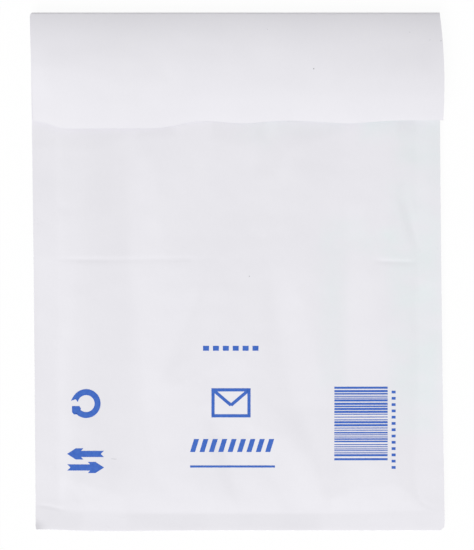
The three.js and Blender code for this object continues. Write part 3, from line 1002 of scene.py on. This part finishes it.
def print_quad(shell, top_left, top_right, low_left, low_right, height=front_height):
    """A patch between four corners."""
    corners = np.array([top_left, top_right, low_left, low_right], float)
    width = np.linalg.norm(corners[1::2] - corners[0::2], axis=1).max()
    depth = np.linalg.norm(corners[2:] - corners[:2], axis=1).max()
    s = np.linspace(0.0, 1.0, max(2, int(width / PRINT_STEP) + 1))[None, :, None]
    t = np.linspace(0.0, 1.0, max(2, int(depth / PRINT_STEP) + 1))[:, None, None]
    top = mix(corners[0], corners[1], s)
    low = mix(corners[2], corners[3], s)
    places = mix(top, low, t)
    print_patch(shell, places[..., 0], places[..., 1], height)


def print_block(shell, x0, x1, y0, y1, slant=0.0, height=front_height):
    """A solid block; slant moves its top edge to the right."""
    print_quad(shell, (x0 + slant, y0), (x1 + slant, y0), (x0, y1), (x1, y1), height)


def print_rows(shell, rows):
    """A patch that spans rows of differing width, each given as its Y, left end and right end."""
    y, left, right = np.array(rows, float).T[..., None]
    columns = max(2, int((right - left).max() / PRINT_STEP) + 1)
    s = np.linspace(0.0, 1.0, columns)[None, :]
    print_patch(shell, mix(left, right, s), y + 0.0 * s)


# The arrow bent into a ring: centre, outer and inner radius, angles of its tail and its other end,
# its tail's notch and flare, and its head as rows of Y, left end and right end
BOW_CENTRE = (85.8, 403.9)
BOW_RADII = (14.5, 8.5)
BOW_ANGLES = (170.0, -140.0)
BOW_NOTCH = 12.0
BOW_FLARE = 1.1
BOW_FLARE_POWER = 24
BOW_STEPS = 53
BOW_HEAD = ((406.4, 71.6, 79.0), (409.0, 71.5, 80.6), (412.6, 71.6, 79.0), (414.8, 73.4, 76.8))


def print_bow(shell):
    """An arrow bent into an open ring, with a forked tail that flares a little."""
    along = np.linspace(0.0, 1.0, BOW_STEPS)[None, :]
    middle = np.array([0.0, 1.0, 0.0])[:, None]
    outside = np.array([1.0, 0.0, 0.0])[:, None]
    flare = BOW_FLARE * outside * (1.0 - along) ** BOW_FLARE_POWER
    radius = np.linspace(*BOW_RADII, 3)[:, None] + flare
    angle = np.radians(mix(BOW_ANGLES[0] - BOW_NOTCH * middle, BOW_ANGLES[1], along))
    cx, cy = BOW_CENTRE
    print_patch(shell, cx + radius * np.cos(angle), cy - radius * np.sin(angle))
    print_rows(shell, BOW_HEAD)


def print_line(shell, a, b, width):
    """A straight line between two places."""
    a, b = np.array(a, float), np.array(b, float)
    way = (b - a) / np.linalg.norm(b - a)
    side = np.array([way[1], -way[0]]) * width / 2
    print_quad(shell, a + side, b + side, a - side, b - side)


# The straight arrows: where each tail is and which way it points, 1 for right and -1 for left, and
# distances along the arrow from its tail or its point, and off its axis
ARROWS = ((103.6, 454.4, -1), (66.8, 468.0, 1))
ARROW_LENGTH = 37.0
ARROW_TAIL = 3.2
ARROW_SHAFT = 3.1
ARROW_HEAD = 5.6
ARROW_SHOULDER = 8.7
ARROW_NOTCH = 13.7
ARROW_BARB = 16.3
ARROW_LAP = 0.4


def print_arrow(shell, tail_x, cy, way):
    """A straight arrow with a forked tail and swept-back barbs."""

    def row(off_axis, start, end):
        return (cy + off_axis, *sorted((tail_x + way * start, tail_x + way * end)))

    def slope_at(off_axis):
        return ARROW_LENGTH - ARROW_SHOULDER * off_axis / ARROW_HEAD

    print_rows(shell, (
        row(-ARROW_SHAFT, 0.0, slope_at(ARROW_SHAFT)),
        row(0.0, ARROW_TAIL, ARROW_LENGTH),
        row(ARROW_SHAFT, 0.0, slope_at(ARROW_SHAFT)),
    ))
    root = ARROW_SHAFT - ARROW_LAP
    for side in (-1, 1):
        barb = (
            row(side * ARROW_HEAD, ARROW_LENGTH - ARROW_BARB, ARROW_LENGTH - ARROW_SHOULDER),
            row(side * root, ARROW_LENGTH - ARROW_NOTCH, slope_at(root)),
        )
        print_rows(shell, barb[::-side])


# The envelope sign: left, right, top and low edge, width of its lines, and the point of its flap
SIGN_BOX = (211.4, 250.6, 388.4, 417.6)
SIGN_LINE = 3.2
SIGN_POINT = (231.0, 405.4)
SIGN_LAP = 0.7


def print_sign(shell):
    """A plain envelope, drawn as a frame with the two edges of its flap."""
    left, right, top, low = SIGN_BOX
    half = SIGN_LINE / 2
    for y in (top, low - SIGN_LINE):
        print_block(shell, left, right, y, y + SIGN_LINE)
    for x in (left, right - SIGN_LINE):
        print_block(shell, x, x + SIGN_LINE, top + SIGN_LAP * half, low - SIGN_LAP * half)
    print_line(shell, (left + half, top + half), SIGN_POINT, SIGN_LINE)
    print_line(shell, SIGN_POINT, (right - half, top + half), SIGN_LINE)


# Rows of blocks: how many, left, right, top and low edge of the first, step across and down to the
# next, and slant
SLANTED_ROW = (9, (190.0, 195.0, 439.3, 452.3), (9.4, 0.0), 4.0)
RULE_ROW = (1, (190.0, 275.0, 465.8, 467.9), (0.0, 0.0), 0.0)
SQUARE_ROW = (6, (203.0, 209.0, 345.9, 350.8), (9.9, 0.0), 0.0)
DOT_ROW = (13, (392.0, 396.0, 391.0, 393.7), (0.0, 6.3), 0.0)


def print_row(shell, count, edges, step, slant):
    left, right, top, low = edges
    across, down = step
    for i in range(count):
        print_block(shell, left + across * i, right + across * i, top + down * i, low + down * i, slant)


# The bars, which follow no code: left, right, top and low edge, where the last one may start, and
# the widths and gaps that are drawn at random
BARS_BOX = (334.5, 388.0, 386.9, 462.3)
BARS_LAST = 461.3
BAR_WIDTHS = (0.9, 0.9, 1.5, 2.1)
BAR_GAPS = (0.8, 0.9, 1.3, 1.9)
BARS_SEED = 5


def print_bars(shell):
    left, right, y, low = BARS_BOX
    rng = np.random.RandomState(BARS_SEED)
    while y < BARS_LAST:
        bar = rng.choice(BAR_WIDTHS)
        print_block(shell, left, right, y, min(y + bar, low))
        y += bar + rng.choice(BAR_GAPS)


# Flecks in the paper: place and half size, and a scratch with its two ends and width
SCRATCH = ((111.0, 459.2), (116.0, 459.6), 0.2)
FRONT_FLECKS = ((249.3, 276.3, 0.4),)
FLAP_FLECKS = ((313.5, 69.3, 0.53), (409.5, 32.5, 0.27), (429.5, 40.5, 0.25), (267.5, 29.5, 0.22),
               (440.6, 41.2, 0.32))


def make_print():
    shell = Shell()
    print_bow(shell)
    for arrow in ARROWS:
        print_arrow(shell, *arrow)
    for row in (SLANTED_ROW, RULE_ROW, SQUARE_ROW):
        print_row(shell, *row)
    print_sign(shell)
    print_bars(shell)
    print_row(shell, *DOT_ROW)
    return shell.make("printed_marks", ink(), None)


def make_flecks():
    shell = Shell()
    print_line(shell, *SCRATCH)
    for flecks, height in ((FRONT_FLECKS, front_height), (FLAP_FLECKS, flap_height)):
        for px, py, half in flecks:
            print_block(shell, px - half, px + half, py - half, py + half, height=height)
    return shell.make("paper_flecks", grey_fleck(), None)


cover = make_cover()
make_lining()
make_strip(
    "adhesive_band", "adhesive_strip", hot_melt(), ADHESIVE_SETBACK,
    ADHESIVE_WIDTH, ADHESIVE_END_MARGIN, STRIP_CLEARANCE, ADHESIVE_THICKNESS,
)
liner = make_strip(
    "liner_strip", "release_liner", liner_paper(), LINER_SETBACK,
    LINER_WIDTH, LINER_END_MARGIN, LINER_DEPTH, LINER_THICKNESS,
)
make_print()
make_flecks()


# Stage: pale floor, soft light and the camera

FLOOR_HALF_SIZE = 3.0
FLOOR_GAP = 0.05
FLOOR_COLOUR = (0.95, 0.95, 0.95, 1.0)
FLOOR_ROUGHNESS = 0.9
FLOOR_GLOW = 0.95
WORLD_LIGHT = 0.42
KEY_ENERGY = 3.16
KEY_SIZE = math.radians(40.0)
KEY_FROM = (-0.41, -1.34, 1.0)
SENSOR_HEIGHT = 36.0


def make_floor():
    """A white floor, which glows where it is seen and keeps a little of the shadow."""
    mesh = bpy.data.meshes.new("floor")
    size = FLOOR_HALF_SIZE
    low = -FLOOR_GAP * MM
    corners = [(-size, -size, low), (size, -size, low), (size, size, low), (-size, size, low)]
    mesh.from_pydata(corners, [], [(0, 1, 2, 3)])
    n = Nodes("floor_white")
    n.set(Base_Color=FLOOR_COLOUR, Roughness=FLOOR_ROUGHNESS)
    rays = n.node("ShaderNodeLightPath").outputs
    seen = rays["Is Camera Ray"]
    for kind in ("Is Glossy Ray", "Is Transmission Ray"):
        seen = n.combined("MAXIMUM", seen, rays[kind])
    glow = n.node("ShaderNodeEmission")
    blend = n.node("ShaderNodeMixShader")
    n.link(n.scaled(seen, 0.0, FLOOR_GLOW), blend.inputs["Fac"])
    n.link(n.shader.outputs["BSDF"], blend.inputs[1])
    n.link(glow.outputs["Emission"], blend.inputs[2])
    n.link(blend.outputs["Shader"], n.tree.nodes["Material Output"].inputs["Surface"])
    mesh.materials.append(n.material)
    floor = bpy.data.objects.new("floor", mesh)
    bpy.context.scene.collection.objects.link(floor)


def make_light():
    world = bpy.data.worlds.new("soft_room")
    bpy.context.scene.world = world
    world.use_nodes = True
    background = world.node_tree.nodes["Background"]
    background.inputs["Color"].default_value = (1.0, 1.0, 1.0, 1.0)
    background.inputs["Strength"].default_value = WORLD_LIGHT
    lamp = bpy.data.lights.new("key", "SUN")
    lamp.energy = KEY_ENERGY
    lamp.angle = KEY_SIZE
    key = bpy.data.objects.new("key", lamp)
    key.rotation_mode = "QUATERNION"
    key.rotation_quaternion = Vector(KEY_FROM).to_track_quat("Z", "Y")
    bpy.context.scene.collection.objects.link(key)


def make_camera():
    data = bpy.data.cameras.new("camera")
    data.sensor_fit = "VERTICAL"
    data.sensor_height = SENSOR_HEIGHT
    data.sensor_width = SENSOR_HEIGHT
    data.lens = SENSOR_HEIGHT * CAMERA_DISTANCE * PX_PER_MM / FRAME_PX[1]
    camera = bpy.data.objects.new("camera", data)
    camera.location = (CAMERA_X * MM, CAMERA_Y * MM, (SEAL_HEIGHT + CAMERA_DISTANCE) * MM)
    bpy.context.scene.collection.objects.link(camera)
    bpy.context.scene.camera = camera


make_floor()
make_light()
make_camera()
bpy.context.scene.view_settings.view_transform = "Standard"
